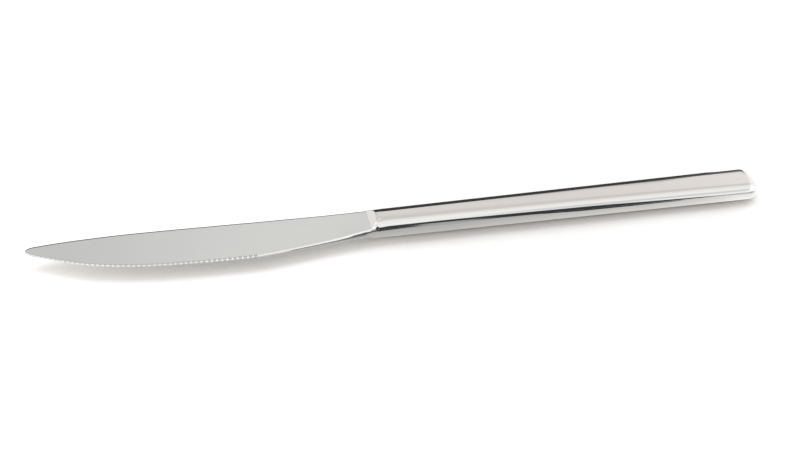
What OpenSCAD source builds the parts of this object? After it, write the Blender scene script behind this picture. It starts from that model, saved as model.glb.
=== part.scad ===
// Polished steel table knife with a finely serrated edge and a hollow handle.
// It lies on the flat back of its handle, the tip towards -X and the cutting edge towards -Y.
// The knife is drawn about its own axis, with the tip at x = 0, the spine towards +Y and the
// plane of the blade at z = 0, and is laid down at the end.

/* [Blade] */
// Length of the blade, from its tip to the top of the shoulder
blade_l = 110.3; // [90:0.1:130]
// Height of the spine above the axis, at its highest
spine_rise = 8.2; // [6.5:0.1:10]
// Depth of the cutting edge below the axis, at its deepest
edge_drop = 10.8; // [8:0.1:13]
// Height of the tip above the axis
tip_rise = 5; // [3:0.1:6]
// Length of the rounded nose at the tip
nose_l = 2.2; // [1:0.1:4]
// Thickness of the blade where it leaves the shoulder
root_t = 3.2; // [2.6:0.1:3.8]
// Thickness of the serrated edge before the gullets are ground
edge_t = 0.8; // [0.6:0.05:1.1]
// Width of the rounding along the spine
spine_round = 0.8; // [0.5:0.1:1.2]
// Width of the bevel along the cutting edge
edge_round = 0.9; // [0.6:0.1:1.3]

/* [Serration] */
// Distance from tooth to tooth along the edge
tooth_pitch = 1.6; // [1.2:0.1:3]
// Depth of the gullets at the edge
tooth_depth = 0.75; // [0.4:0.05:0.9]
// Radius of the wheel rim that grinds the gullets
gullet_r = 0.5; // [0.4:0.05:0.55]
// Angle between the gullets and the face of the blade
gullet_angle = 76; // [65:1:85]
// Plain length at the tip before the first tooth
serration_start = 3.6; // [2:0.1:10]
// Length of the row of teeth along the blade
serration_l = 68; // [40:1:75]

/* [Shoulder] */
// Length of the ramp from the flat face up to the shoulder
ramp_l = 2.5; // [1.5:0.1:6]
// Length of the solid neck behind the ramp
neck_l = 3; // [2:0.5:8]
// How far the neck's rounded form falls away towards the ramp
neck_fall = 0.15; // [0.05:0.05:0.3]
// Height over which the creases of the ramp are softened
crease_softness = 0.15; // [0.05:0.05:0.3]

/* [Handle] */
// Length of the handle with its neck
handle_l = 128.2; // [100:0.1:140]
// Width of the handle at the neck
neck_w = 10.3; // [9:0.1:13]
// Width of the handle at the butt
butt_w = 13.8; // [11:0.1:18]
// Thickness of the handle at the neck
neck_t = 7.8; // [6.5:0.1:9]
// Thickness of the handle at the butt
butt_t = 5.7; // [5:0.1:7]
// Height of the plain strip along the seam, between the rounded sides
side_flat = 0.5; // [0.3:0.1:1.5]
// Width of the rounded sides, for each unit of their height
side_spread = 1.2; // [1:0.05:1.25]
// Radius of the arc that ends the butt
butt_arc_r = 14; // [10:0.5:25]
// Radius of the two corners of the butt
butt_corner_r = 3.8; // [3.5:0.1:5]
// Length of the rounding at the end of the butt
butt_round = 3.2; // [2.5:0.1:3.4]

/* [Hollow handle] */
// Wall of the two pressed shells
wall = 0.8; // [0.6:0.1:1.2]
// Thickness of the brazed seam between the shells
seam_t = 0.12; // [0.08:0.02:0.2]
// Thickness of the braze between the neck and the shells
joint_t = 0.12; // [0.08:0.02:0.2]
// Length of the spigot that centres the shells on the neck
spigot_l = 2.5; // [1.5:0.5:5]
// Clearance between the spigot and the shells
spigot_gap = 0.05; // [0.02:0.01:0.15]
// Length of the tang behind the spigot
tang_l = 46; // [25:1:70]
// Width of the tang at its root
tang_w = 5; // [4:0.1:6]
// Thickness of the tang at its root
tang_t = 3; // [2:0.1:3.4]
// Radius of the keying notches in the tang
notch_r = 0.8; // [0.4:0.1:1]
// Distance between the keying notches
notch_pitch = 12; // [8:1:20]

/* [Smoothness] */
// Steps round each side of a section
corner_steps = 9; // [6:1:12]
// Stations along the blade
blade_stations = 44; // [30:1:70]
// Stations over the ramp
ramp_stations = 8; // [5:1:16]
// Stations along the neck
neck_stations = 3; // [2:1:6]
// Stations along the rounded nose
nose_stations = 5; // [3:1:8]
// Steps round each corner of the butt
butt_corner_steps = 6; // [4:1:10]
// Steps along the arc of the butt
butt_arc_steps = 10; // [6:2:16]
// Facets round each gullet's wheel
gullet_facets = 32; // [24:4:48]
// Facets round each keying notch
notch_facets = 24; // [16:4:32]

/* [Hidden] */
// How far a cutting shape runs past what it cuts
overrun = 1;
// Half thicknesses and half widths of the handle at its two ends
neck_b = neck_t / 2;
butt_b = butt_t / 2;
neck_a = neck_w / 2;
butt_a = butt_w / 2;
// The main places along the axis
ramp_x = blade_l - ramp_l;
neck_x = blade_l + neck_l;
shell_x = neck_x + joint_t;
butt_x = blade_l + handle_l;
spigot_x = shell_x + spigot_l;
tang_x = spigot_x + tang_l;

// Outline of the spine, in shares of the blade's length and of the spine's rise
spine_shares = [
    [0, 0.775], [0.045, 0.857], [0.108, 0.932], [0.18, 0.976], [0.27, 1],
    [0.405, 0.967], [0.54, 0.91], [0.676, 0.847], [0.81, 0.788], [0.92, 0.735], [0.975, 0.7]
];
// Outline of the edge, in shares of the blade's length and of the edge's drop
edge_shares = [
    [0, -0.31], [0.045, -0.078], [0.09, 0.154], [0.135, 0.366], [0.18, 0.532],
    [0.27, 0.756], [0.36, 0.885], [0.45, 0.952], [0.54, 0.988], [0.612, 1],
    [0.65, 0.986], [0.69, 0.939], [0.74, 0.862], [0.795, 0.779], [0.873, 0.657],
    [0.93, 0.568], [0.965, 0.519]
];
// Thickness along the spine, in shares of the blade's length and of its root thickness
spine_t_shares = [[0, 0.29], [0.27, 0.38], [0.54, 0.47], [0.81, 0.62], [0.92, 0.8], [0.98, 1]];
// Thickness along the edge, in shares of the blade's length and of the way from edge to root
edge_t_shares = [
    [0, 0], [0.62, 0], [0.7, 0.03], [0.795, 0.1], [0.873, 0.24], [0.93, 0.65], [0.975, 1]
];
// Shares of the blade's half thickness that the spine's rounding and the edge's bevel take off
spine_round_share = 0.5;
edge_round_share = 0.85;
// Most of a section's width that the form of one side of it may take
reach_share = 0.45;
// Share of the neck's length over which its form falls away
neck_fall_share = 0.8;
// The first station sits this share of the nose behind the tip
tip_share = 0.004;
// Share of a pitch over which the slope of the edge is measured
slope_share = 0.25;
// Share of its thickness by which each corner of the tang is rounded
tang_corner_share = 0.25;
// Width and thickness of the tang's end, as shares of its root
tang_end_share = 0.75;

// Smooth curve through a list of [place, value] pairs, level at each high and low point
function rate(k, i) = (k[i + 1][1] - k[i][1]) / (k[i + 1][0] - k[i][0]);
function knot_slope(k, i) =
    i == 0 ? rate(k, 0) :
    i == len(k) - 1 ? rate(k, i - 1) :
    rate(k, i - 1) * rate(k, i) <= 0 ? 0 :
    2 * rate(k, i - 1) * rate(k, i) / (rate(k, i - 1) + rate(k, i));
function span(k, x, i = 0) = i >= len(k) - 2 || x < k[i + 1][0] ? i : span(k, x, i + 1);
function blend(k, i, h, s) =
    (1 + 2 * s) * pow(1 - s, 2) * k[i][1] + s * pow(1 - s, 2) * h * knot_slope(k, i)
    + s * s * (3 - 2 * s) * k[i + 1][1] + s * s * (s - 1) * h * knot_slope(k, i + 1);
function curve(k, x) =
    x <= k[0][0] ? k[0][1] :
    x >= k[len(k) - 1][0] ? k[len(k) - 1][1] :
    let (i = span(k, x), h = k[i + 1][0] - k[i][0]) blend(k, i, h, (x - k[i][0]) / h);

// Handle: half width, half thickness, and height and width of its rounded sides along the axis
function along(x) = (x - blade_l) / handle_l;
function handle_a(x) = neck_a + (butt_a - neck_a) * along(x);
function handle_b(x) = neck_b + (butt_b - neck_b) * along(x);
function handle_r(x) = handle_b(x) - side_flat / 2;
function handle_w(x) = handle_r(x) * side_spread;

// Blade: outlines and half thicknesses, which run out into the neck
spine_knots = concat(
    [for (s = spine_shares) [s[0] * blade_l, s[1] * spine_rise]],
    [[blade_l, handle_a(blade_l)], [neck_x, handle_a(neck_x)]]
);
edge_knots = concat(
    [for (s = edge_shares) [s[0] * blade_l, -s[1] * edge_drop]],
    [[blade_l, -handle_a(blade_l)], [neck_x, -handle_a(neck_x)]]
);
spine_b_knots = [for (s = spine_t_shares) [s[0] * blade_l, s[1] * root_t / 2]];
edge_b_knots = [
    for (s = edge_t_shares) [s[0] * blade_l, (edge_t + (root_t - edge_t) * s[1]) / 2]
];
function nose(x) = x >= nose_l ? 1 : sqrt(1 - pow(1 - x / nose_l, 2));
function spine_y(x) = tip_rise + (curve(spine_knots, x) - tip_rise) * nose(x);
function edge_y(x) = tip_rise + (curve(edge_knots, x) - tip_rise) * nose(x);

// Height of a quarter of an ellipse, as shares, from 0 at its side to 1 at its top
function arch(share) = sqrt(1 - pow(1 - max(0, min(share, 1)), 2));

// The lower of two heights, with the crease between them softened
function soft_min(p, q) =
    min(p, q) - pow(max(crease_softness - abs(p - q), 0), 2) / (4 * crease_softness);

// Height of the handle's rounded form at a distance d in from its side
function side_rise(x, d, inset) =
    side_flat / 2 + (handle_r(x) - inset) * arch(d / (handle_w(x) - inset));

// How much the spine's rounding or the edge's bevel takes off a half thickness b
function taken_off(d, b, w, share) = min(b * share, w) * (1 - arch(d / w));

// Height of the flat face, and of the ramp's plane behind it, between the top and the bottom
// of a section
function face_height(x, y, top, bottom) =
    let (
        spine_b = curve(spine_b_knots, x),
        edge_b = curve(edge_b_knots, x),
        climb = max(0, x - ramp_x) * (neck_b - root_t / 2) / ramp_l,
        most = (top - bottom) * reach_share
    )
    edge_b + (spine_b - edge_b) * (y - bottom) / (top - bottom) + climb
    - taken_off(top - y, spine_b, min(spine_round, most), spine_round_share)
    - taken_off(y - bottom, edge_b, min(edge_round, most), edge_round_share);

// Places across a section from its top to its bottom, close together near its two sides
function ring_places(x, top, bottom, inset) =
    let (
        reach = min(handle_w(max(x, blade_l)) - inset, (top - bottom) * reach_share),
        inward = [for (i = [0:corner_steps]) reach * (1 - cos(90 * i / corner_steps))]
    )
    concat([for (d = inward) top - d], [for (d = backwards(inward)) bottom + d]);

// A closed ring of points from those of its upper half
function backwards(list) = [for (i = [len(list) - 1:-1:0]) list[i]];
function mirrored(half) = concat(half, [for (p = backwards(half)) [p[0], p[1], -p[2]]]);

// Section of the blade, the ramp or the neck: the handle's rounded form, cut by the face
function blade_ring(x) =
    let (
        top = spine_y(x),
        bottom = edge_y(x),
        end = max(x, blade_l),
        fall = neck_fall * pow(max(0, 1 - (end - blade_l) / (neck_l * neck_fall_share)), 2)
    )
    mirrored([
        for (y = ring_places(x, top, bottom, 0))
            let (form = side_rise(end, min(top - y, y - bottom), fall))
            [x, y, soft_min(form, face_height(x, y, top, bottom))]
    ]);

// Section of the handle at x, drawn in by an inset
function handle_ring(x, inset) =
    let (a = handle_a(x) - inset)
    mirrored([
        for (y = ring_places(x, a, -a, inset)) [x, y, side_rise(x, a - abs(y), inset)]
    ]);

// Plain rectangular section with as many points as the others
function bar_ring(x, w, t) =
    let (r = t * tang_corner_share)
    mirrored([
        for (y = ring_places(x, w / 2, -w / 2, 0))
            [x, y, t / 2 - r + r * arch((w / 2 - abs(y)) / r)]
    ]);

// Solid skinned over a list of closed rings, each with the same number of points
module skin(rings) {
    n = len(rings[0]);
    last = len(rings) - 1;
    sides = [
        for (i = [0:last - 1], j = [0:n - 1])
            let (a = i * n + j, b = i * n + (j + 1) % n)
            each [[a, b + n, b], [a, a + n, b + n]]
    ];
    caps = [[for (j = [0:n - 1]) j], [for (j = [n - 1:-1:0]) last * n + j]];
    polyhedron(points = [for (r = rings) each r], faces = concat(sides, caps));
}

// Forged body of the blade with its ramp and neck, before the teeth are ground
module blade_body() {
    near_tip = [for (i = [1:nose_stations]) nose_l * pow(i / (nose_stations + 1), 2)];
    along_blade = [for (i = [0:blade_stations]) nose_l + (ramp_x - nose_l) * i / blade_stations];
    up_ramp = [for (i = [1:ramp_stations]) ramp_x + ramp_l * sin(90 * i / ramp_stations)];
    along_neck = [for (i = [1:neck_stations]) blade_l + neck_l * i / neck_stations];
    places = concat([nose_l * tip_share], near_tip, along_blade, up_ramp, along_neck);
    skin([for (x = places) blade_ring(x)]);
}

// Spigot and tang, one with the neck
module tang() {
    spigot_inset = wall + spigot_gap;
    difference() {
        union() {
            skin([for (x = [neck_x - neck_l / 2, spigot_x]) handle_ring(x, spigot_inset)]);
            skin([
                bar_ring(neck_x, tang_w, tang_t),
                bar_ring(tang_x, tang_w * tang_end_share, tang_t * tang_end_share)
            ]);
        }
        for (x = [spigot_x + notch_pitch / 2:notch_pitch:tang_x - notch_r * 2], side = [-1, 1])
            translate([x, side * tang_w / 2, -tang_t])
                cylinder(r = notch_r, h = 2 * tang_t, $fn = notch_facets);
    }
}

// Places of the teeth, one pitch apart along the curve of the edge
slope_step = tooth_pitch * slope_share;
function edge_slope(x) =
    (edge_y(x + slope_step / 2) - edge_y(x - slope_step / 2)) / slope_step;
tooth_places = [
    for (x = serration_start; x < serration_start + serration_l;
         x = x + tooth_pitch / norm([1, edge_slope(x)]))
        x
];

// Groove that the wheel grinds from the edge up through the front face
module gullet(x) {
    b = curve(edge_b_knots, x);
    reach = 2 * root_t / sin(gullet_angle);
    translate([x, edge_y(x), 0])
        rotate([0, 0, atan(edge_slope(x))])
            translate([0, tooth_depth, -b])
                rotate([gullet_angle - 90, 0, 0])
                    translate([0, -gullet_r, -reach / 2])
                        cylinder(r = gullet_r, h = reach, $fn = gullet_facets);
}

// Blade, neck, spigot and tang, forged in one piece
module blade() color("silver") {
    difference() {
        blade_body();
        for (x = tooth_places)
            gullet(x);
    }
    tang();
}

// Outline of the handle, as [x, y, direction of its normal], from the mouth round the butt
corner_y = handle_a(butt_x - butt_corner_r) - butt_corner_r;
arc_x = butt_x - butt_arc_r;
corner_x = arc_x + sqrt(pow(butt_arc_r - butt_corner_r, 2) - pow(corner_y, 2));
arc_angle = atan2(corner_y, corner_x - arc_x);
function arc_points(cx, cy, r, t0, t1, steps, first, last) = [
    for (i = [first:last])
        let (t = t0 + (t1 - t0) * i / steps)
        [cx + r * cos(t), cy + r * sin(t), t]
];
function handle_outline(mouth) =
    let (n = butt_corner_steps, m = butt_arc_steps, t = arc_angle)
    concat(
        [[mouth, -handle_a(mouth), -90]],
        arc_points(corner_x, -corner_y, butt_corner_r, -90, -t, n, 0, n),
        arc_points(arc_x, 0, butt_arc_r, -t, t, m, 1, m - 1),
        arc_points(corner_x, corner_y, butt_corner_r, t, 90, n, 0, n),
        [[mouth, handle_a(mouth), 90]]
    );

// Outline of the handle drawn in by an inset and lifted up its rounded side by an angle
function lift(p, inset, t) =
    let (
        away = 1 - cos(t),
        x = p[0] - (inset + (butt_round - inset) * away) * cos(p[2]),
        y = p[1] - (inset + (handle_w(x) - inset) * away) * sin(p[2])
    )
    [x, y, side_flat / 2 + (handle_r(x) - inset) * sin(t)];

// Upper half of the handle's form above a floor, drawn in by an inset
module half_form(mouth, inset, floor_z) {
    outline = handle_outline(mouth);
    base = [for (p = outline) let (q = lift(p, inset, 0)) [q[0], q[1], floor_z]];
    skin(concat(
        [base],
        [for (i = [0:corner_steps]) [for (p = outline) lift(p, inset, 90 * i / corner_steps)]]
    ));
}

// One pressed shell: half of the handle's skin, from the mouth round the butt
module shell() {
    difference() {
        half_form(shell_x, 0, seam_t / 2);
        half_form(shell_x - overrun, wall, -overrun);
    }
}

module handle_shell_front() color("gainsboro") shell();

module handle_shell_back() color("lightgray") mirror([0, 0, 1]) shell();

// Braze in the seam that runs along both sides of the handle and round its butt
module handle_seam() color("darkgray") {
    outline = handle_outline(shell_x);
    inner = handle_outline(shell_x - overrun);
    translate([0, 0, -seam_t / 2])
        linear_extrude(seam_t)
            difference() {
                polygon([for (p = outline) [p[0], p[1]]]);
                polygon([for (p = inner) let (q = lift(p, wall, 0)) [q[0], q[1]]]);
            }
}

// Braze between the end of the neck and the mouths of the two shells
module neck_braze() color("darkgray") {
    difference() {
        skin([handle_ring(neck_x, 0), handle_ring(shell_x, 0)]);
        skin([handle_ring(neck_x - overrun, wall), handle_ring(shell_x + overrun, wall)]);
    }
}

// Cement that fills the shells behind the spigot and grips the notched tang
module handle_filler() color("tan") {
    difference() {
        union() {
            half_form(spigot_x, wall, 0);
            mirror([0, 0, 1])
                half_form(spigot_x, wall, 0);
        }
        tang();
    }
}

// Lays the knife on the flat back of its handle, centred on its own width and length
lie_angle = atan((neck_b - butt_b) / handle_l);
module lay_down() {
    mid_x = (handle_l - blade_l) / 2 * cos(lie_angle) + neck_b * sin(lie_angle);
    mid_y = (spine_rise - edge_drop) / 2;
    translate([-mid_x, -mid_y, 0])
        rotate([0, lie_angle, 0])
            translate([-blade_l, 0, neck_b])
                children();
}

lay_down() blade();
lay_down() handle_shell_front();
lay_down() handle_shell_back();
lay_down() handle_seam();
lay_down() neck_braze();
lay_down() handle_filler();
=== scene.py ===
"""Looks of a polished steel table knife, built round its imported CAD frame.

The forms repeat part.scad's, in millimetres and about the knife's own axis (tip at x = 0, spine
towards +Y, plane of the blade at z = 0), with finer steps. They are laid down and turned into
metres when each mesh is made.
"""

from math import atan, atan2, cos, hypot, pi, radians, sin, sqrt

import bmesh
import bpy
from mathutils import Matrix, Vector


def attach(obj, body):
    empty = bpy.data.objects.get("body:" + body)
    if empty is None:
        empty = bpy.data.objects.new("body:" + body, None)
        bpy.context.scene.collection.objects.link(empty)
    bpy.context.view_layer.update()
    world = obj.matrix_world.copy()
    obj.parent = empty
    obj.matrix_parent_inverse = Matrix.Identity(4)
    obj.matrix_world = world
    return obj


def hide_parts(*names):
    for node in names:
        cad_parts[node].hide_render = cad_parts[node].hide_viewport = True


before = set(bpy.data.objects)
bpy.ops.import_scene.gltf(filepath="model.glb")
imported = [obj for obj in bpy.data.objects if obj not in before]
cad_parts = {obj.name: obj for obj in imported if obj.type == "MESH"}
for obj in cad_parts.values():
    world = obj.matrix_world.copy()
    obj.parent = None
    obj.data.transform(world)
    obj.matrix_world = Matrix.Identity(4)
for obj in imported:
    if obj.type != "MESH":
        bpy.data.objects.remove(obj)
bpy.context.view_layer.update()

MM = 0.001
BODY = "root"

# Sizes from part.scad
BLADE_L, SPINE_RISE, EDGE_DROP, TIP_RISE, NOSE_L = 110.3, 8.2, 10.8, 5, 2.2
ROOT_T, EDGE_T = 3.2, 0.8
SPINE_ROUND, SPINE_ROUND_SHARE, EDGE_ROUND, EDGE_ROUND_SHARE = 0.8, 0.5, 0.9, 0.85
TOOTH_PITCH, TOOTH_DEPTH, GULLET_R, GULLET_ANGLE = 1.6, 0.75, 0.5, radians(76)
SERRATION_START, SERRATION_L = 3.6, 68
RAMP_L, NECK_L = 2.5, 3
NECK_FALL, NECK_FALL_L = 0.15, 2.4
CREASE_SOFTNESS = 0.15
HANDLE_L, NECK_W, BUTT_W, NECK_T, BUTT_T = 128.2, 10.3, 13.8, 7.8, 5.7
SIDE_FLAT, SIDE_SPREAD, CROWN_R = 0.5, 1.2, 200
BUTT_ARC_R, BUTT_CORNER_R, BUTT_ROUND = 14, 3.8, 3.2
WALL, SEAM_T, JOINT_T, SPIGOT_L, SPIGOT_GAP = 0.8, 0.12, 0.12, 2.5, 0.05
TANG_L, TANG_W, TANG_T, TANG_END_SHARE, TANG_CORNER_SHARE = 46, 5, 3, 0.75, 0.25
NOTCH_R, NOTCH_PITCH = 0.8, 12
REACH_SHARE, TIP_SHARE, SLOPE_SHARE = 0.45, 0.004, 0.25

# Heights of the spine and depths of the edge along the blade, and how its thickness grows there
SPINE_SHARES = [
    (0, 0.775), (0.045, 0.857), (0.108, 0.932), (0.18, 0.976), (0.27, 1),
    (0.405, 0.967), (0.54, 0.91), (0.676, 0.847), (0.81, 0.788), (0.92, 0.735), (0.975, 0.7),
]
EDGE_SHARES = [
    (0, -0.31), (0.045, -0.078), (0.09, 0.154), (0.135, 0.366), (0.18, 0.532),
    (0.27, 0.756), (0.36, 0.885), (0.45, 0.952), (0.54, 0.988), (0.612, 1),
    (0.65, 0.986), (0.69, 0.939), (0.74, 0.862), (0.795, 0.779), (0.873, 0.657),
    (0.93, 0.568), (0.965, 0.519),
]
SPINE_T_SHARES = [(0, 0.29), (0.27, 0.38), (0.54, 0.47), (0.81, 0.62), (0.92, 0.8), (0.98, 1)]
EDGE_T_SHARES = [
    (0, 0), (0.62, 0), (0.7, 0.03), (0.795, 0.1), (0.873, 0.24), (0.93, 0.65), (0.975, 1),
]

# Half widths and half thicknesses of the handle at its two ends, and places along the axis
NECK_A, BUTT_A, NECK_B, BUTT_B = NECK_W / 2, BUTT_W / 2, NECK_T / 2, BUTT_T / 2
RAMP_X, NECK_X, BUTT_X = BLADE_L - RAMP_L, BLADE_L + NECK_L, BLADE_L + HANDLE_L
SHELL_X = NECK_X + JOINT_T
SPIGOT_X = SHELL_X + SPIGOT_L
TANG_X = SPIGOT_X + TANG_L

# Lays the knife on the flat back of its handle, in metres
LIE_ANGLE = atan((NECK_B - BUTT_B) / HANDLE_L)
LAY_DOWN = (
    Matrix.Scale(MM, 4)
    @ Matrix.Translation((-(HANDLE_L - BLADE_L) / 2 * cos(LIE_ANGLE) - NECK_B * sin(LIE_ANGLE),
                          (EDGE_DROP - SPINE_RISE) / 2, 0))
    @ Matrix.Rotation(LIE_ANGLE, 4, "Y")
    @ Matrix.Translation((-BLADE_L, 0, NECK_B))
)

# Fineness of the meshes
CORNER_STEPS = 44
FACE_COLUMNS = (0.25, 0.5, 0.75)
NOSE_STATIONS, BLADE_STATIONS, RAMP_STATIONS, NECK_STATIONS = 12, 140, 90, 12
RAMP_EASE = 0.12
SIDE_STATIONS, BUTT_CORNER_STEPS, BUTT_ARC_STEPS, SIDE_STEPS = 60, 16, 24, 28
TOP_COLUMNS = (0.06, 0.18, 0.34, 0.5, 0.66, 0.82, 0.94)
GULLET_FACETS, NOTCH_FACETS = 64, 24
SHARP_ANGLE = radians(16)

# Camera, as measured on the photo
PHOTO_WIDTH, SENSOR, CLIP_START = 800, 36, 0.01
CAMERA_YAW, CAMERA_PITCH = radians(11.152), radians(36)
CAMERA_DISTANCE = 500
CAMERA_AIM = Vector((-1.64, -1.03, 3.0))
PIXELS_PER_MM = 3.1231

# Steel and cement: colours, least and most roughness, and how the polishing lines are drawn out
BLADE_COLOUR, HANDLE_COLOUR = (0.69, 0.695, 0.69), (0.70, 0.69, 0.675)
CEMENT_COLOUR = (0.62, 0.58, 0.52)
BLADE_ROUGHNESS, HANDLE_ROUGHNESS, CEMENT_ROUGHNESS = (0.08, 0.14), (0.03, 0.07), (0.8, 0.95)
BLADE_LINES, HANDLE_LINES = (60, 1500, 1500), (50, 1200, 1200)
BLADE_LINE_DEPTH, HANDLE_LINE_DEPTH, LINE_STRENGTH = 0.000002, 0.000001, 0.5
# The middle of a noise's values, over which a tone or a roughness changes
NOISE_MIDDLE = (0.3, 0.7)
HAZE_SCALE, HAZE_SHADE = 60.0, 0.975
WAVE_SCALE, WAVE_STRENGTH, WAVE_DEPTH = 28.0, 0.2, 0.0004
GRAIN_SCALE, GRAIN_STRENGTH, GRAIN_DEPTH = 2500.0, 0.6, 0.0002
CLOUD_SCALE, CLOUD_MIDDLE, CLOUD_SHADE = 180.0, (0.35, 0.65), 0.82
# How far before the neck the finer polish starts, in millimetres, and over how many metres
POLISH_START, POLISH_BLEND = 0.6, 0.0004
# Painted reflection on the edge's rounding: how bright its grey is, by metres along the knife, and
# the normals that pick the rounding out
EDGE_REFLECTION_GREYS = [(-0.115, 0.74), (-0.107, 0.85), (-0.094, 0.85), (-0.086, 0.75), (-0.068, 0.75),
              (-0.058, 0.88), (-0.044, 0.88), (-0.036, 0.84), (-0.01, 0.84)]
EDGE_NORMAL_Y, EDGE_NORMAL_Z = (-0.30, -0.12), (0.28, 0.40)

# The studio that the steel mirrors. Rise is how far a direction has risen from the horizon behind
# the knife over to the one in front, and aside is how far it lies to the right of the camera's own
# direction, both in degrees. Each pair of degrees is a span over which a panel starts or ends.
PANELS = [
    (0, (1.05, 1.05, 1.05)),
    (29, (1.04, 1.01, 0.985)),
    (32, (1.02, 0.995, 0.97)),
    (36, (0.98, 0.945, 0.93)),
    (52, (0.94, 0.905, 0.875)),
    (60, (0.90, 0.86, 0.825)),
    (70, (0.93, 0.90, 0.865)),
    (76, (1.06, 1.03, 0.99)),
    (86, (1.21, 1.18, 1.15)),
    (96, (1.25, 1.235, 1.20)),
    (110, (1.25, 1.25, 1.22)),
    (119, (1.16, 1.19, 1.18)),
    (127, (1.26, 1.30, 1.30)),
    (136, (1.22, 1.26, 1.26)),
    (150, (1.24, 1.27, 1.27)),
    (165, (1.12, 1.15, 1.15)),
    (180, (1.0, 1.0, 1.0)),
]
# The panels overhead run aslant: by the rise plus OVERHEAD_SLANT times the degrees aside
OVERHEAD_SLANT = 3.5
OVERHEAD = [
    (10, (0.98, 0.945, 0.92)),
    (50, (0.965, 0.93, 0.90)),
    (70, (0.92, 0.885, 0.86)),
    (82, (0.885, 0.85, 0.825)),
    (90, (0.865, 0.83, 0.805)),
    (105, (0.865, 0.835, 0.81)),
    (112, (0.90, 0.87, 0.84)),
    (118, (0.96, 0.93, 0.90)),
    (124, (1.05, 1.02, 0.98)),
    (132, (1.11, 1.08, 1.04)),
    (142, (1.16, 1.135, 1.095)),
    (152, (1.20, 1.18, 1.14)),
    (165, (1.235, 1.215, 1.18)),
    (180, (1.25, 1.235, 1.20)),
]
OVERHEAD_ON, OVERHEAD_OFF, OVERHEAD_ASIDE = (36.5, 41.0), (98.0, 108.0), (1.0, 4.0)
# How the low panels behind the knife lighten by degrees aside, from its tip's side to its butt's
SIDE_TINTS = [
    (-90, (1.06, 1.045, 1.0)),
    (-42, (1.06, 1.045, 1.0)),
    (-28, (0.84, 0.86, 0.875)),
    (-12, (0.82, 0.845, 0.86)),
    (-5, (0.965, 1.0, 0.995)),
    (0, (0.99, 1.0, 0.985)),
    (8, (1.0, 0.99, 0.985)),
    (12, (1.06, 1.05, 1.045)),
    (15, (1.15, 1.145, 1.14)),
    (27, (1.25, 1.26, 1.27)),
    (90, (1.25, 1.26, 1.27)),
]
TINTS_OFF = (60.0, 80.0)
# A grey streak, the glare at the butt, whose two borders lean, and the far edge of the table
STREAK_GREY = (0.89, 0.905, 0.895)
STREAK_ON, STREAK_OFF, STREAK_ASIDE = (107.0, 119.0), (129.0, 141.0), (17.0, 21.0)
GLARE = (1.5, 1.5, 1.5)
GLARE_ON, GLARE_OFF, GLARE_ASIDE = (54.0, 66.0), (138.0, 146.0), (29.0, 33.0)
GLARE_MIDDLE, GLARE_LEAN_ON, GLARE_LEAN_OFF = 31.0, 1.5, 0.5
TABLE_EDGE_GREY, TABLE_EDGE_RISE = (0.53, 0.525, 0.51), (163.0, 166.5)
# A low panel beside the front card, by its height from 0 to 1
BESIDE_PANEL = [(0.0, (0.34, 0.34, 0.33)), (0.2, (0.5, 0.5, 0.49)), (0.32, (0.72, 0.72, 0.71)),
                (0.5, (1.0, 1.0, 1.0))]
BESIDE_ON, BESIDE_OFF, BESIDE_RISE = (37.0, 43.0), (66.0, 72.0), (152.0, 157.0)
# The dark card behind the knife, up to a border that falls in steps by degrees aside
BACK_DARK, BACK_DARK_END, BACK_DARK_FADE = (0.062, 0.058, 0.055), (0.16, 0.155, 0.15), (8.0, 13.0)
BACK_BORDER, BACK_BORDER_BLUR = 33.2, (-0.6, 0.6)
BACK_BORDER_FALLS = [((5.0, 9.0), 0.8), ((10.2, 11.8), 1.0), ((14.5, 16.5), 6.0)]
BACK_CARD_ON, BACK_CARD_OFF = (-38.0, -32.0), (19.0, 21.5)
# The dark card in front, from a rise that grows by a lean before and past some degrees aside. It
# covers the table's edge except in a gap.
FRONT_DARK = (0.045, 0.055, 0.057)
FRONT_CARD_RISE, FRONT_CARD_ON, FRONT_CARD_OFF = (139.0, 143.0), (-6.0, -3.0), (29.8, 30.6)
FRONT_BEFORE, FRONT_BEFORE_LEAN, FRONT_PAST, FRONT_PAST_LEAN = 19.0, 5.0, 25.2, 4.8
FRONT_GAP_ON, FRONT_GAP_OFF = (19.4, 20.1), (21.3, 22.1)
# The studio's light on the table, straight and by way of the steel
PLAIN_LIGHT, UNDER_LIGHT = (0.755, 0.73, 0.695), (0.35, 0.34, 0.33)

# The table, and how light the steel mirrors it by metres along the knife and across it. This is a
# painted reflection: the table glows with these tones for the steel alone
TABLE_SIZE, TABLE_GAP, TABLE_GRAIN = 6.0, 0.00003, 40.0
TABLE_COLOURS = [(0, (0.885, 0.885, 0.88)), (1, (0.9, 0.9, 0.9))]
TABLE_TONES = [
    (-0.12, (1.10, 1.09, 1.07)),
    (-0.045, (1.05, 1.04, 1.02)),
    (-0.02, (0.64, 0.635, 0.62)),
    (0.016, (0.66, 0.655, 0.64)),
    (0.048, (0.76, 0.75, 0.73)),
    (0.08, (0.84, 0.83, 0.81)),
    (0.096, (0.92, 0.91, 0.89)),
    (0.107, (1.06, 1.05, 1.03)),
    (0.113, (1.22, 1.21, 1.19)),
]
TABLE_FALL = [(-0.03, 0.80), (-0.012, 0.94), (-0.005, 1.08)]
# Behind the knife the mirrored table is dark from this distance on, up to this place along it
BACK_NEAR, BACK_END, BACK_SLANT = (0.009, 0.014), (0.101, 0.107), 0.38
# In front it is dark beyond a distance, by the metres along the knife, aslant
FRONT_SLANT, FRONT_BLUR = 0.18, (-0.003, 0.003)
FRONT_FADE, FRONT_FADE_SHARE = (-0.016, -0.010), 0.85
FRONT_REACH = [
    (-0.042, 3.0), (-0.038, 0.010), (-0.013, 0.010), (-0.009, 0.016), (-0.0055, 0.021),
    (0.0, 0.034), (0.002, 0.038), (0.006, 3.0), (0.042, 3.0), (0.046, 0.034), (0.053, 0.018),
    (0.058, 0.015), (0.075, 0.015), (0.085, 0.018), (0.092, 0.020), (0.096, 0.030), (0.099, 3.0),
]
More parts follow.
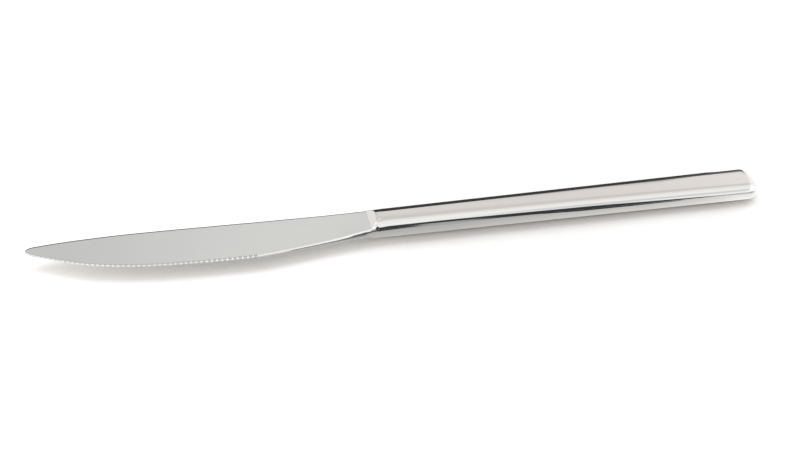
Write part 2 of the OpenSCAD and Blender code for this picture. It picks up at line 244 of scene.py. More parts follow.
# How far the table is lifted where it shows, by metres along the knife, and away from it. Along the
# knife the lift is painted light, a glow that lightens the knife's shadow, most at the ends
LIFT_TINT = (1, 0.975, 0.93)
LIFTS = [(-0.11, 0.32), (-0.095, 0.28), (-0.08, 0.24), (-0.06, 0.2), (-0.02, 0.19), (0.0, 0.08),
         (0.015, 0.05), (0.05, 0.03), (0.106, 0.04), (0.113, 0.1), (0.118, 0.25)]
AWAY_ASIDE, AWAY_ALONG, AWAY_LIFT = (0.035, 0.06), (0.15, 0.2), (0.5, 0.5, 0.5)

SOFTBOX_SIZE, SOFTBOX_DISTANCE, SOFTBOX_WATTS = (1.6, 0.5), 0.7, 4.2
SOFTBOX_RISE, SOFTBOX_COLOUR = radians(58), (0.95, 1.0, 1.08)


def curve(knots, x):
    """Smooth curve through (place, value) pairs, level at each high and low point."""
    if x <= knots[0][0]:
        return knots[0][1]
    if x >= knots[-1][0]:
        return knots[-1][1]
    i = max(j for j in range(len(knots) - 1) if knots[j][0] <= x)

    def rate(j):
        return (knots[j + 1][1] - knots[j][1]) / (knots[j + 1][0] - knots[j][0])

    def slope(j):
        if j in (0, len(knots) - 1):
            return rate(min(j, len(knots) - 2))
        before, after = rate(j - 1), rate(j)
        return 0 if before * after <= 0 else 2 * before * after / (before + after)

    h = knots[i + 1][0] - knots[i][0]
    s = (x - knots[i][0]) / h
    return ((1 + 2 * s) * (1 - s) ** 2 * knots[i][1] + s * (1 - s) ** 2 * h * slope(i)
            + s * s * (3 - 2 * s) * knots[i + 1][1] + s * s * (s - 1) * h * slope(i + 1))


def along(x):
    """Share of the handle's length, 0 at the neck and 1 at the butt."""
    return (x - BLADE_L) / HANDLE_L


def handle_a(x):
    """Half width of the handle."""
    return NECK_A + (BUTT_A - NECK_A) * along(x)


def handle_b(x):
    """Half thickness of the handle."""
    return NECK_B + (BUTT_B - NECK_B) * along(x)


def handle_r(x):
    """Height of the rounding of the handle's sides."""
    return handle_b(x) - SIDE_FLAT / 2


def handle_w(x):
    """Width of the rounding of the handle's sides."""
    return handle_r(x) * SIDE_SPREAD


# Outline and half thicknesses of the blade, as (place, value) pairs
SPINE_KNOTS = [(a * BLADE_L, b * SPINE_RISE) for a, b in SPINE_SHARES] + [
    (x, handle_a(x)) for x in (BLADE_L, NECK_X)]
EDGE_KNOTS = [(a * BLADE_L, -b * EDGE_DROP) for a, b in EDGE_SHARES] + [
    (x, -handle_a(x)) for x in (BLADE_L, NECK_X)]
SPINE_B_KNOTS = [(a * BLADE_L, b * ROOT_T / 2) for a, b in SPINE_T_SHARES]
EDGE_B_KNOTS = [(a * BLADE_L, (EDGE_T + (ROOT_T - EDGE_T) * b) / 2) for a, b in EDGE_T_SHARES]
# Middle of the butt's corner, and the middle and half angle of the arc between the corners
CORNER_Y = handle_a(BUTT_X - BUTT_CORNER_R) - BUTT_CORNER_R
ARC_X = BUTT_X - BUTT_ARC_R
CORNER_X = ARC_X + sqrt((BUTT_ARC_R - BUTT_CORNER_R) ** 2 - CORNER_Y ** 2)
ARC_ANGLE = atan2(CORNER_Y, CORNER_X - ARC_X)


def nose(x):
    """Share of its full width that the rounded nose has."""
    return 1 if x >= NOSE_L else sqrt(1 - (1 - x / NOSE_L) ** 2)


def spine_y(x):
    return TIP_RISE + (curve(SPINE_KNOTS, x) - TIP_RISE) * nose(x)


def edge_y(x):
    return TIP_RISE + (curve(EDGE_KNOTS, x) - TIP_RISE) * nose(x)


def eased(u):
    """max(u, 0), with the bend at 0 rounded."""
    if u <= -RAMP_EASE:
        return 0
    return u if u >= RAMP_EASE else (u + RAMP_EASE) ** 2 / (4 * RAMP_EASE)


def arch(share):
    """Height of a quarter of an ellipse, from 0 at its side to 1 at its top."""
    return sqrt(1 - (1 - max(min(share, 1), 0)) ** 2)


def side_rise(x, y, d, inset=0):
    """Height of the handle's rounded form at a distance d in from its side."""
    return SIDE_FLAT / 2 + (handle_r(x) - inset - y * y / (2 * CROWN_R)) * arch(
        d / (handle_w(x) - inset))


def soft_min(a, b):
    """The lower of two heights, with the crease between them rounded."""
    overlap = max(CREASE_SOFTNESS - abs(a - b), 0)
    return min(a, b) - overlap ** 2 / (4 * CREASE_SOFTNESS)


def face_height(x, y, top, bottom):
    """Height of the flat face and of the ramp's plane behind it, with their edges rounded."""
    width = top - bottom
    spine_b, edge_b = curve(SPINE_B_KNOTS, x), curve(EDGE_B_KNOTS, x)
    height = edge_b + (spine_b - edge_b) * (y - bottom) / width
    height += eased(x - RAMP_X) * (NECK_B - ROOT_T / 2) / RAMP_L
    for d, b, w, share in ((top - y, spine_b, SPINE_ROUND, SPINE_ROUND_SHARE),
                           (y - bottom, edge_b, EDGE_ROUND, EDGE_ROUND_SHARE)):
        w = min(w, width * REACH_SHARE)
        height -= min(b * share, w) * (1 - arch(d / w))
    return height


def ring_places(x, top, bottom, inset=0):
    """Places across a section, close together near its sides."""
    reach = min(handle_w(max(x, BLADE_L)) - inset, (top - bottom) * REACH_SHARE)
    inward = [reach * (1 - cos(pi / 2 * i / CORNER_STEPS)) for i in range(CORNER_STEPS + 1)]
    flat = top - bottom - 2 * reach
    return ([top - d for d in inward] + [top - reach - flat * s for s in FACE_COLUMNS]
            + [bottom + d for d in reversed(inward)])


def mirrored_ring(points):
    """A closed section, from the points of its upper half."""
    return points + [(x, y, -z) for x, y, z in reversed(points)]


def neck_fall(x):
    """How far the neck's rounded form falls away towards the ramp."""
    return NECK_FALL * max(1 - (x - BLADE_L) / NECK_FALL_L, 0) ** 2


def blade_ring(x):
    """The section of the blade, the ramp or the neck at x."""
    top, bottom = spine_y(x), edge_y(x)
    end = max(x, BLADE_L)
    return mirrored_ring([
        (x, y, soft_min(side_rise(end, y, min(top - y, y - bottom), neck_fall(end)),
                        face_height(x, y, top, bottom)))
        for y in ring_places(x, top, bottom)])


def handle_ring(x, inset):
    """The section of the handle at x, drawn in by an inset."""
    a = handle_a(x) - inset
    return mirrored_ring([(x, y, side_rise(x, y, a - abs(y), inset))
                          for y in ring_places(x, a, -a, inset)])


def bar_ring(x, w, t):
    """A rectangular section with rounded edges and as many points as the others."""
    r = t * TANG_CORNER_SHARE
    return mirrored_ring([(x, y, t / 2 - r + r * arch((w / 2 - abs(y)) / r))
                          for y in ring_places(x, w / 2, -w / 2)])


def laid(points):
    """Points of the knife, laid down."""
    return [LAY_DOWN @ Vector(p) for p in points]


def new_piece(name, points, faces, node=None, slot=None, material=None):
    """A mesh from points of the knife, laid down, shaded smooth and fitted to the frame."""
    mesh = bpy.data.meshes.new(name)
    mesh.from_pydata(laid(points), [], faces)
    mesh.validate()
    tidy_up = bmesh.new()
    tidy_up.from_mesh(mesh)
    bmesh.ops.recalc_face_normals(tidy_up, faces=tidy_up.faces)
    tidy_up.to_mesh(mesh)
    tidy_up.free()
    piece = bpy.data.objects.new(name, mesh)
    bpy.context.scene.collection.objects.link(piece)
    if material:
        mesh.materials.append(material)
    if node:
        finish_shading(piece)
        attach(piece, BODY)
        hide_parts(node)
    return piece


def finish_shading(piece):
    piece.data.shade_smooth()
    piece.data.set_sharp_from_angle(angle=SHARP_ANGLE)


def loft(rings):
    """Points and faces of a closed skin over rings with the same number of points."""
    n, last = len(rings[0]), len(rings) - 1
    faces = [
        (i * n + j, i * n + (j + 1) % n, (i + 1) * n + (j + 1) % n, (i + 1) * n + j)
        for i in range(last) for j in range(n)
    ]
    faces += [tuple(range(n)), tuple(last * n + j for j in range(n))]
    return [p for r in rings for p in r], faces


def blade_places():
    """Places of the sections along the blade, the ramp and the neck."""
    near_tip = [NOSE_L * (i / NOSE_STATIONS) ** 2 for i in range(1, NOSE_STATIONS)]
    plain_l = RAMP_X - RAMP_EASE - NOSE_L
    plain = [NOSE_L + plain_l * i / BLADE_STATIONS for i in range(BLADE_STATIONS + 1)]
    ramp_l = RAMP_L + 2 * RAMP_EASE
    ramp = [RAMP_X - RAMP_EASE + ramp_l * (1 - cos(pi * i / RAMP_STATIONS)) / 2
            for i in range(1, RAMP_STATIONS + 1)]
    neck = [BLADE_L + NECK_L * i / NECK_STATIONS for i in range(1, NECK_STATIONS + 1)]
    return [NOSE_L * TIP_SHARE] + near_tip + plain + ramp + neck


def tooth_slope(x):
    """Slope of the edge about a tooth."""
    step = TOOTH_PITCH * SLOPE_SHARE
    return (edge_y(x + step / 2) - edge_y(x - step / 2)) / step


def tooth_places():
    places, x = [], SERRATION_START
    while x < SERRATION_START + SERRATION_L:
        places.append(x)
        x += TOOTH_PITCH / hypot(1, tooth_slope(x))
    return places


def cylinder(placing, r, length, facets):
    """Points and faces of a cylinder that stands on z = 0, after a placing matrix."""
    turns = [2 * pi * i / facets for i in range(facets)]
    rings = [[placing @ Vector((r * cos(t), r * sin(t), z)) for t in turns] for z in (0, length)]
    return loft(rings)


def gullet(x):
    """The groove that the wheel grinds from the edge up through the front face at x."""
    reach = 2 * ROOT_T / sin(GULLET_ANGLE)
    placing = (
        Matrix.Translation((x, edge_y(x), 0))
        @ Matrix.Rotation(atan(tooth_slope(x)), 4, "Z")
        @ Matrix.Translation((0, TOOTH_DEPTH, -curve(EDGE_B_KNOTS, x)))
        @ Matrix.Rotation(GULLET_ANGLE - pi / 2, 4, "X")
        @ Matrix.Translation((0, -GULLET_R, -reach / 2))
    )
    return cylinder(placing, GULLET_R, reach, GULLET_FACETS)


def notches():
    """The keying notches on both sides of the tang."""
    cuts, x = [], SPIGOT_X + NOTCH_PITCH / 2
    while x <= TANG_X - NOTCH_R * 2:
        for side in (-1, 1):
            placing = Matrix.Translation((x, side * TANG_W / 2, -TANG_T))
            cuts.append(cylinder(placing, NOTCH_R, 2 * TANG_T, NOTCH_FACETS))
        x += NOTCH_PITCH
    return cuts


def cut_away(piece, solids):
    """Cuts a list of separate solids, each given as points and faces, out of a piece."""
    points, faces = [], []
    for solid_points, solid_faces in solids:
        faces += [tuple(len(points) + i for i in f) for f in solid_faces]
        points += solid_points
    cutter = new_piece("cutter", points, faces)
    cut = piece.modifiers.new("cut", "BOOLEAN")
    cut.operation, cut.solver, cut.object = "DIFFERENCE", "EXACT", cutter
    shape = bpy.data.meshes.new_from_object(
        piece.evaluated_get(bpy.context.evaluated_depsgraph_get()))
    piece.modifiers.remove(cut)
    piece.data = shape
    bpy.data.objects.remove(cutter)


def build_blade(material):
    """The forging: blade, ramp, neck, spigot and notched tang, with its teeth ground."""
    spigot_inset = WALL + SPIGOT_GAP
    rings = [blade_ring(x) for x in blade_places()]
    rings += [handle_ring(x, spigot_inset) for x in (NECK_X, SPIGOT_X)]
    rings += [bar_ring(SPIGOT_X, TANG_W, TANG_T),
              bar_ring(TANG_X, TANG_W * TANG_END_SHARE, TANG_T * TANG_END_SHARE)]
    piece = new_piece("knife_blade", *loft(rings), material=material)
    gullets = [gullet(x) for x in tooth_places()]
    cut_away(piece, gullets[0::2])
    cut_away(piece, gullets[1::2] + notches())
    finish_shading(piece)
    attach(piece, BODY)
    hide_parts("blade")


def arc(cx, cy, r, t0, t1, steps):
    """Points of an arc from angle t0 to angle t1, as (x, y, direction of its normal)."""
    turns = [t0 + (t1 - t0) * i / steps for i in range(steps + 1)]
    return [(cx + r * cos(t), cy + r * sin(t), t) for t in turns]


def handle_outline(mouth):
    """The handle's outline as (x, y, direction of its normal), from the mouth round the butt."""
    run = CORNER_X - mouth
    side = [mouth + run * i / SIDE_STATIONS for i in range(SIDE_STATIONS)]
    low = [(x, -handle_a(x), -pi / 2) for x in side]
    low_corner = arc(CORNER_X, -CORNER_Y, BUTT_CORNER_R, -pi / 2, -ARC_ANGLE, BUTT_CORNER_STEPS)
    end = arc(ARC_X, 0, BUTT_ARC_R, -ARC_ANGLE, ARC_ANGLE, BUTT_ARC_STEPS)[1:-1]
    half = low + low_corner
    return half + end + [(x, -y, -t) for x, y, t in reversed(half)]


def lift(p, inset, t):
    """A point of the outline, drawn in by an inset and lifted up the rounded side by t."""
    away = 1 - cos(t)
    x = p[0] - (inset + (BUTT_ROUND - inset) * away) * cos(p[2])
    y = p[1] - (inset + (handle_w(x) - inset) * away) * sin(p[2])
    return x, y, SIDE_FLAT / 2 + (handle_r(x) - inset - y * y / (2 * CROWN_R)) * sin(t)


def half_skin(outline, inset, floor_z, side):
    """Levels of points from the floor up to the rim of the flat top, on one side of the seam."""
    turns = [pi / 2 * i / SIDE_STEPS for i in range(SIDE_STEPS + 1)]
    base = [(*lift(p, inset, 0)[:2], floor_z) for p in outline]
    levels = [base] + [[lift(p, inset, t) for p in outline] for t in turns]
    return [[(x, y, side * z) for x, y, z in level] for level in levels]


def build_shell(name, node, side, material):
    """One pressed shell, a closed thin-walled half of the handle, for side +1 or -1."""
    outline = handle_outline(SHELL_X)
    n, half = len(outline), len(outline) // 2
    points, faces = [], []

    def add_skin(inset):
        """Adds the shell's outer or inner skin and returns its base row and its mouth."""
        levels = half_skin(outline, inset, SEAM_T / 2, side)
        first = len(points)
        for level in levels:
            points.extend(level)
        rows = [[first + k * n + i for i in range(n)] for k in range(len(levels))]
        for low, high in zip(rows, rows[1:]):
            faces.extend((low[i], low[i + 1], high[i + 1], high[i]) for i in range(n - 1))
        rim = levels[-1]
        across = []
        for i in range(half):
            (x, y0, _), (_, y1, _) = rim[i], rim[n - 1 - i]
            start = len(points)
            for s in TOP_COLUMNS:
                y = y0 + (y1 - y0) * s
                height = handle_b(x) - inset - y * y / (2 * CROWN_R)
                points.append((x, y, side * height))
            across.append([rows[-1][i], *range(start, len(points)), rows[-1][n - 1 - i]])
        for near, far in zip(across, across[1:]):
            faces.extend((near[j], near[j + 1], far[j + 1], far[j])
                         for j in range(len(near) - 1))
        apex, last = rows[-1][half], across[-1]
        faces.extend((last[j], last[j + 1], apex) for j in range(len(last) - 1))
        mouth = ([row[0] for row in rows] + across[0][1:-1] + [row[-1] for row in reversed(rows)])
        return rows[0], mouth

    outer_base, outer_mouth = add_skin(0)
    inner_base, inner_mouth = add_skin(WALL)
    for a, b in ((outer_base, inner_base), (outer_mouth, inner_mouth)):
        faces.extend((a[i], a[i + 1], b[i + 1], b[i]) for i in range(len(a) - 1))
    return new_piece(name, points, faces, node, "handle_steel", material)


def build_seam(material):
    """The braze in the seam, a flat band that follows the outline between the two shells."""
    outline = handle_outline(SHELL_X)
    n = len(outline)
    rows = [[(*lift(p, inset, 0)[:2], z) for p in outline]
            for inset, z in ((0, -SEAM_T / 2), (0, SEAM_T / 2), (WALL, SEAM_T / 2),
                             (WALL, -SEAM_T / 2))]
    points = [p for row in rows for p in row]
    faces = [(k * n + i, k * n + i + 1, (k + 1) % 4 * n + i + 1, (k + 1) % 4 * n + i)
             for k in range(4) for i in range(n - 1)]
    faces += [tuple(k * n for k in range(4)), tuple(k * n + n - 1 for k in range(4))]
    new_piece("handle_seam_braze", points, faces, "handle_seam", "braze", material)


def build_neck_braze(material):
    """The braze between the neck and the mouths of the shells, a thin hollow ring."""
    rows = [handle_ring(x, inset)
            for x, inset in ((NECK_X, 0), (SHELL_X, 0), (SHELL_X, WALL), (NECK_X, WALL))]
    n = len(rows[0])
    points = [p for row in rows for p in row]
    faces = [(k * n + j, k * n + (j + 1) % n, (k + 1) % 4 * n + (j + 1) % n, (k + 1) % 4 * n + j)
             for k in range(4) for j in range(n)]
    new_piece("neck_braze_ring", points, faces, "neck_braze", "braze", material)


def add(tree, kind, inputs=None, **settings):
    """A new node, with its settings, and values or links for its inputs."""
    made = tree.nodes.new(kind)
    for name, value in settings.items():
        setattr(made, name, value)
    for key, value in (inputs or {}).items():
        if isinstance(value, bpy.types.NodeSocket):
            tree.links.new(value, made.inputs[key])
        else:
            made.inputs[key].default_value = value
    return made


def calc(tree, operation, *values):
    """The output of a Math node."""
    return add(tree, "ShaderNodeMath", dict(enumerate(values)), operation=operation).outputs[0]


def all_of(tree, first, *shares):
    """The product of some shares, each from 0 to 1."""
    for share in shares:
        first = calc(tree, "MULTIPLY", first, share)
    return first


def any_of(tree, a, b):
    """The greater of two shares."""
    return calc(tree, "MAXIMUM", a, b)


def plus(tree, value, other, times):
    """A value plus another one times a number."""
    return calc(tree, "ADD", value, calc(tree, "MULTIPLY", other, times))


def rising(tree, value, span, to=(0, 1)):
    """A smooth step from to[0] to to[1] as a value passes over a span."""
    made = add(tree, "ShaderNodeMapRange",
               {"Value": value, "From Min": span[0], "From Max": span[1],
                "To Min": to[0], "To Max": to[1]},
               interpolation_type="SMOOTHSTEP")
    return made.outputs["Result"]


def falling(tree, value, span):
    """A smooth step from 1 down to 0 as a value passes over a span."""
    return rising(tree, value, span, (1, 0))


def mixed(tree, share, a, b, blend="MIX"):
    """Colour a, mixed with colour b by a share."""
    colours = [c if isinstance(c, bpy.types.NodeSocket) else (*c, 1) for c in (a, b)]
    return add(tree, "ShaderNodeMix", {0: share, 6: colours[0], 7: colours[1]},
               data_type="RGBA", blend_type=blend).outputs[2]


def ramp(tree, share, stops):
    """A colour ramp from (place, colour) pairs, with places from 0 to 1."""
    made = add(tree, "ShaderNodeValToRGB", {"Fac": share})
    elements = made.color_ramp.elements
    while len(elements) < len(stops):
        elements.new(1)
    for element, (place, colour) in zip(elements, stops):
        element.position, element.color = place, (*colour, 1)
    return made.outputs["Color"]


def scale_of(tree, value, stops):
    """A colour ramp from (value, colour or grey) pairs."""
    low, high = stops[0][0], stops[-1][0]
    share = calc(tree, "DIVIDE", calc(tree, "SUBTRACT", value, low), high - low)
    return ramp(tree, share, [((v - low) / (high - low), c if isinstance(c, tuple) else (c, c, c))
                              for v, c in stops])


def coordinates(tree, kind):
    return add(tree, "ShaderNodeTexCoord").outputs[kind]


def parts(tree, vector):
    """The three parts of a vector."""
    return add(tree, "ShaderNodeSeparateXYZ", {"Vector": vector}).outputs


def noise(tree, vector, scale, detail):
    made = add(tree, "ShaderNodeTexNoise", {"Vector": vector, "Scale": scale, "Detail": detail})
    return made.outputs["Fac"]


def stretched(tree, place, scale):
    """Coordinates scaled along each axis, so that a noise draws out into lines."""
    return add(tree, "ShaderNodeMapping", {"Vector": place, "Scale": scale}).outputs["Vector"]


def shaded(tree, share, middle, shade, colour):
    """A colour that a noise darkens to a shade of it."""
    return ramp(tree, share, [(middle[0], [c * shade for c in colour]), (middle[1], colour)])


def new_material(name):
    material = bpy.data.materials.new(name)
    material.use_nodes = True
    material.node_tree.nodes.clear()
    return material, material.node_tree


def finer_polish_and_edge_reflection(tree, place, haze, spread, tone, rough, finer):
    """The tone and roughness of a finer polish, and the painted reflection, a grey by place along
    the knife, on the cutting edge's rounding before it.
    """
    start, colour, roughness, edge_reflection_greys = finer
    x = parts(tree, place)["X"]
    _, y, z = parts(tree, coordinates(tree, "Normal"))
    edge = all_of(tree, falling(tree, y, EDGE_NORMAL_Y), rising(tree, z, EDGE_NORMAL_Z))
    # Painted reflection: the edge's rounding takes a grey by place along the knife
    tone = mixed(tree, edge, tone, scale_of(tree, x, edge_reflection_greys))
    share = rising(tree, x, (start - POLISH_BLEND, start + POLISH_BLEND))
    tone = mixed(tree, share, tone, shaded(tree, haze, NOISE_MIDDLE, HAZE_SHADE, colour))
    rest = calc(tree, "SUBTRACT", 1.0, share)
    rough = calc(tree, "ADD", calc(tree, "MULTIPLY", rough, rest),
                 calc(tree, "MULTIPLY", rising(tree, spread, NOISE_MIDDLE, roughness), share))
    return tone, rough


def polished_steel(name, colour, roughness, line_scale, line_depth, finer=None):
    """Polished steel with the fine lines of its polishing, faint haze and slow unevenness.

    finer is (x, colour, roughness, greys) for a finer polish that starts at x, and for the greys of
    a painted reflection on the cutting edge's rounding before it.
    """
    material, tree = new_material(name)
    place = coordinates(tree, "Object")
    lines = noise(tree, stretched(tree, place, line_scale), 1.0, 4.0)
    haze = noise(tree, place, HAZE_SCALE, 4.0)
    spread = calc(tree, "ADD", calc(tree, "MULTIPLY", lines, 0.5),
                  calc(tree, "MULTIPLY", haze, 0.5))
    tone = shaded(tree, haze, NOISE_MIDDLE, HAZE_SHADE, colour)
    rough = rising(tree, spread, NOISE_MIDDLE, roughness)
    if finer:
        tone, rough = finer_polish_and_edge_reflection(tree, place, haze, spread, tone, rough, finer)
    slow = add(tree, "ShaderNodeBump", {"Height": noise(tree, place, WAVE_SCALE, 1.0),
                                        "Strength": WAVE_STRENGTH, "Distance": WAVE_DEPTH})
    fine = add(tree, "ShaderNodeBump", {"Height": lines, "Strength": LINE_STRENGTH,
                                        "Distance": line_depth, "Normal": slow.outputs["Normal"]})
    steel = add(tree, "ShaderNodeBsdfPrincipled",
                {"Base Color": tone, "Metallic": 1.0, "Roughness": rough,
                 "Normal": fine.outputs["Normal"]})
    add(tree, "ShaderNodeOutputMaterial", {"Surface": steel.outputs["BSDF"]})
    return material


def cement(name, colour):
    """Rough hardened cement, seen only where the handle is cut open."""
    material, tree = new_material(name)
    place = coordinates(tree, "Object")
    grains = noise(tree, place, GRAIN_SCALE, 6.0)
    clouds = noise(tree, place, CLOUD_SCALE, 3.0)
    bumps = add(tree, "ShaderNodeBump", {"Height": grains, "Strength": GRAIN_STRENGTH,
                                         "Distance": GRAIN_DEPTH})
    body = add(tree, "ShaderNodeBsdfPrincipled",
               {"Base Color": shaded(tree, clouds, CLOUD_MIDDLE, CLOUD_SHADE, colour),
                "Roughness": rising(tree, grains, NOISE_MIDDLE, CEMENT_ROUGHNESS),
                "Normal": bumps.outputs["Normal"]})
    add(tree, "ShaderNodeOutputMaterial", {"Surface": body.outputs["BSDF"]})
    return material


def build_camera():
    """The camera of the photo."""
    view = Vector((sin(CAMERA_YAW) * cos(CAMERA_PITCH), cos(CAMERA_YAW) * cos(CAMERA_PITCH),
                   -sin(CAMERA_PITCH)))
    data = bpy.data.cameras.new("camera")
    data.sensor_width = SENSOR
    data.lens = PIXELS_PER_MM * CAMERA_DISTANCE / PHOTO_WIDTH * SENSOR
    data.clip_start = CLIP_START
    camera = bpy.data.objects.new("camera", data)
    camera.location = (CAMERA_AIM - view * CAMERA_DISTANCE) * MM
    camera.rotation_euler = view.to_track_quat("-Z", "Y").to_euler()
    bpy.context.scene.collection.objects.link(camera)
    bpy.context.scene.camera = camera


def straight_mirror(tree, paths):
    """1 for what polished steel mirrors straight to the camera, 0 for the light on the table."""
    return calc(tree, "MULTIPLY", paths["Is Glossy Ray"],
                calc(tree, "LESS_THAN", paths["Diffuse Depth"], 0.5))


def lit_panels(tree, rise, aside, height):
    """The studio's light, without its two dark cards."""
    panels = scale_of(tree, rise, PANELS)
    tinted = mixed(tree, 1.0, panels, scale_of(tree, aside, SIDE_TINTS), "MULTIPLY")
    lit = mixed(tree, falling(tree, rise, TINTS_OFF), panels, tinted)
    overhead = scale_of(tree, plus(tree, rise, aside, OVERHEAD_SLANT), OVERHEAD)
    past = calc(tree, "SUBTRACT", aside, GLARE_MIDDLE)
    streak = all_of(tree, rising(tree, rise, STREAK_ON), falling(tree, rise, STREAK_OFF),
                    rising(tree, aside, STREAK_ASIDE))
    glare = all_of(tree, rising(tree, plus(tree, rise, past, GLARE_LEAN_ON), GLARE_ON),
                   falling(tree, plus(tree, rise, past, -GLARE_LEAN_OFF), GLARE_OFF),
                   rising(tree, aside, GLARE_ASIDE))
    beside = all_of(tree, rising(tree, aside, BESIDE_ON), falling(tree, aside, BESIDE_OFF),
                    rising(tree, rise, BESIDE_RISE))
    for share, light in (
            (all_of(tree, rising(tree, rise, OVERHEAD_ON), rising(tree, aside, OVERHEAD_ASIDE)),
             overhead),
            (rising(tree, rise, OVERHEAD_OFF), panels),
            (streak, STREAK_GREY),
            (glare, GLARE),
            (rising(tree, rise, TABLE_EDGE_RISE), TABLE_EDGE_GREY),
            (beside, ramp(tree, height, BESIDE_PANEL))):
        lit = mixed(tree, share, lit, light)
    return lit


def back_card(tree, rise, aside):
    """1 on the card behind the knife, which the handle mirrors as its upper dark line."""
    border = BACK_BORDER
    for span, fall in BACK_BORDER_FALLS:
        border = calc(tree, "SUBTRACT", border, rising(tree, aside, span, (0, fall)))
    return all_of(tree, falling(tree, calc(tree, "SUBTRACT", rise, border), BACK_BORDER_BLUR),
                  rising(tree, aside, BACK_CARD_ON), falling(tree, aside, BACK_CARD_OFF))


def front_card(tree, rise, aside):
    """1 on the card in front of the knife, which the handle mirrors as its lower dark line."""
    past = calc(tree, "MAXIMUM", calc(tree, "SUBTRACT", aside, FRONT_PAST), 0.0)
    before = calc(tree, "MAXIMUM", calc(tree, "SUBTRACT", FRONT_BEFORE, aside), 0.0)
    start = plus(tree, plus(tree, rise, past, -FRONT_PAST_LEAN), before, -FRONT_BEFORE_LEAN)
    gap_sides = any_of(tree, falling(tree, aside, FRONT_GAP_ON), rising(tree, aside, FRONT_GAP_OFF))
    return all_of(tree, rising(tree, start, FRONT_CARD_RISE),
                  any_of(tree, falling(tree, rise, TABLE_EDGE_RISE), gap_sides),
                  rising(tree, aside, FRONT_CARD_ON), falling(tree, aside, FRONT_CARD_OFF))


def build_world():
    """A white studio: camera rays see plain white, and the steel mirrors the studio's panels."""
    world = bpy.data.worlds.new("studio")
    world.use_nodes = True
    tree = world.node_tree
    tree.nodes.clear()
    turned = add(tree, "ShaderNodeVectorRotate",
                 {"Vector": coordinates(tree, "Generated"), "Angle": CAMERA_YAW},
                 rotation_type="Z_AXIS").outputs["Vector"]
    x, y, height = parts(tree, turned)
    rise = calc(tree, "DEGREES", calc(tree, "ARCTAN2", calc(tree, "MAXIMUM", height, 0.0), y))
    aside = calc(tree, "DEGREES", calc(tree, "ARCSINE", x))
    back_dark = mixed(tree, rising(tree, aside, BACK_DARK_FADE), BACK_DARK, BACK_DARK_END)
    studio = lit_panels(tree, rise, aside, height)
    studio = mixed(tree, back_card(tree, rise, aside), studio, back_dark)
    studio = mixed(tree, front_card(tree, rise, aside), studio, FRONT_DARK)
    paths = add(tree, "ShaderNodeLightPath").outputs
    plain = mixed(tree, paths["Is Glossy Ray"], PLAIN_LIGHT, UNDER_LIGHT)
    mirrored = mixed(tree, straight_mirror(tree, paths), plain, studio)
    colour = mixed(tree, paths["Is Camera Ray"], mirrored, (1, 1, 1))
    background = add(tree, "ShaderNodeBackground", {"Color": colour, "Strength": 1.0})
    add(tree, "ShaderNodeOutputWorld", {"Surface": background.outputs["Background"]})
    bpy.context.scene.world = world


def mirrored_table(tree, x, y):
    """The painted reflection of the table, tones that it glows with for the steel alone, dark
    beyond some distance behind and in front.
    """
    mirrored = mixed(tree, 1.0, scale_of(tree, x, TABLE_TONES), scale_of(tree, y, TABLE_FALL),
                     "MULTIPLY")
    behind = all_of(tree, rising(tree, y, BACK_NEAR),
                    falling(tree, plus(tree, x, y, -BACK_SLANT), BACK_END))
    column = plus(tree, x, y, FRONT_SLANT)
    beyond = calc(tree, "SUBTRACT", calc(tree, "MULTIPLY", y, -1.0),
                  scale_of(tree, column, FRONT_REACH))
    in_front = all_of(tree, rising(tree, beyond, FRONT_BLUR),
                      rising(tree, column, FRONT_FADE, (FRONT_FADE_SHARE, 1.0)))
    return mixed(tree, in_front, mixed(tree, behind, mirrored, BACK_DARK), FRONT_DARK)


def pale_table():
    """A pale table that reads as white, lifted a little for the rays that show it. The lift is
    painted light that lightens the knife's shadow, most at the ends, and for the steel the table
    glows with a painted reflection.
    """
    material, tree = new_material("pale_table")
    paths = add(tree, "ShaderNodeLightPath").outputs
    place = coordinates(tree, "Object")
    x, y, _ = parts(tree, place)
    # Painted light: a glow for the rays that show the table, which lightens the knife's shadow,
    # most at the ends
    lift = scale_of(tree, x, [(v, tuple(grey * t for t in LIFT_TINT)) for v, grey in LIFTS])
    away = any_of(tree, rising(tree, calc(tree, "ABSOLUTE", y), AWAY_ASIDE),
                  rising(tree, calc(tree, "ABSOLUTE", x), AWAY_ALONG))
    table = add(tree, "ShaderNodeBsdfPrincipled", {
        "Base Color": ramp(tree, noise(tree, place, TABLE_GRAIN, 4.0), TABLE_COLOURS),
        "Roughness": 0.8, "Specular IOR Level": 0.2,
        "Emission Color": mixed(tree, away, lift, AWAY_LIFT),
        "Emission Strength": any_of(tree, paths["Is Camera Ray"], paths["Is Transmission Ray"])})
    # Painted reflection: what the steel mirrors of the table is a glow of these tones, not the lit
    # table
    seen = add(tree, "ShaderNodeEmission", {"Color": mirrored_table(tree, x, y), "Strength": 1.0})
    both = add(tree, "ShaderNodeMixShader", {0: straight_mirror(tree, paths),
                                             1: table.outputs["BSDF"],
                                             2: seen.outputs["Emission"]})
    add(tree, "ShaderNodeOutputMaterial", {"Surface": both.outputs["Shader"]})
    return material


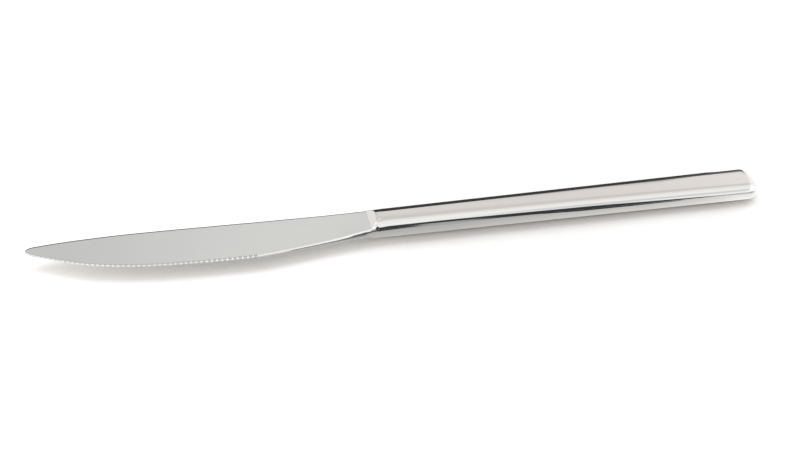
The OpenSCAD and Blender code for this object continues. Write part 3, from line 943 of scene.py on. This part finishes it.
def build_table():
    """The table top, a hair below the knife."""
    mesh = bpy.data.meshes.new("table_top")
    half = TABLE_SIZE / 2
    mesh.from_pydata([(-half, -half, -TABLE_GAP), (half, -half, -TABLE_GAP),
                      (half, half, -TABLE_GAP), (-half, half, -TABLE_GAP)], [], [(0, 1, 2, 3)])
    mesh.materials.append(pale_table())
    floor = bpy.data.objects.new("table_top", mesh)
    bpy.context.scene.collection.objects.link(floor)


def build_softbox():
    """A soft light behind and above, whose shadow falls towards the camera."""
    data = bpy.data.lights.new("softbox", "AREA")
    data.shape, data.size, data.size_y = "RECTANGLE", *SOFTBOX_SIZE
    data.energy = SOFTBOX_WATTS
    data.color = SOFTBOX_COLOUR
    softbox = bpy.data.objects.new("softbox", data)
    towards = Vector((0, cos(SOFTBOX_RISE), sin(SOFTBOX_RISE)))
    softbox.location = towards * SOFTBOX_DISTANCE
    softbox.rotation_euler = towards.to_track_quat("Z", "Y").to_euler()
    softbox.visible_glossy = False
    bpy.context.scene.collection.objects.link(softbox)


neck_start = (LAY_DOWN @ Vector((BLADE_L - POLISH_START, 0, 0))).x
blade_steel = polished_steel("blade_steel", BLADE_COLOUR, BLADE_ROUGHNESS, BLADE_LINES,
                             BLADE_LINE_DEPTH,
                             (neck_start, HANDLE_COLOUR, HANDLE_ROUGHNESS, EDGE_REFLECTION_GREYS))
handle_steel = polished_steel("handle_steel", HANDLE_COLOUR, HANDLE_ROUGHNESS, HANDLE_LINES,
                              HANDLE_LINE_DEPTH)
braze = polished_steel("braze", HANDLE_COLOUR, HANDLE_ROUGHNESS, HANDLE_LINES, HANDLE_LINE_DEPTH)

build_blade(blade_steel)
build_shell("handle_front", "handle_shell_front", 1, handle_steel)
build_shell("handle_back", "handle_shell_back", -1, handle_steel)
build_seam(braze)
build_neck_braze(braze)

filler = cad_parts["handle_filler"]
filler.data.materials.clear()
filler.data.materials.append(cement("cement", CEMENT_COLOUR))

build_table()
build_softbox()
build_world()
build_camera()

bpy.context.scene.view_settings.view_transform = "Standard"
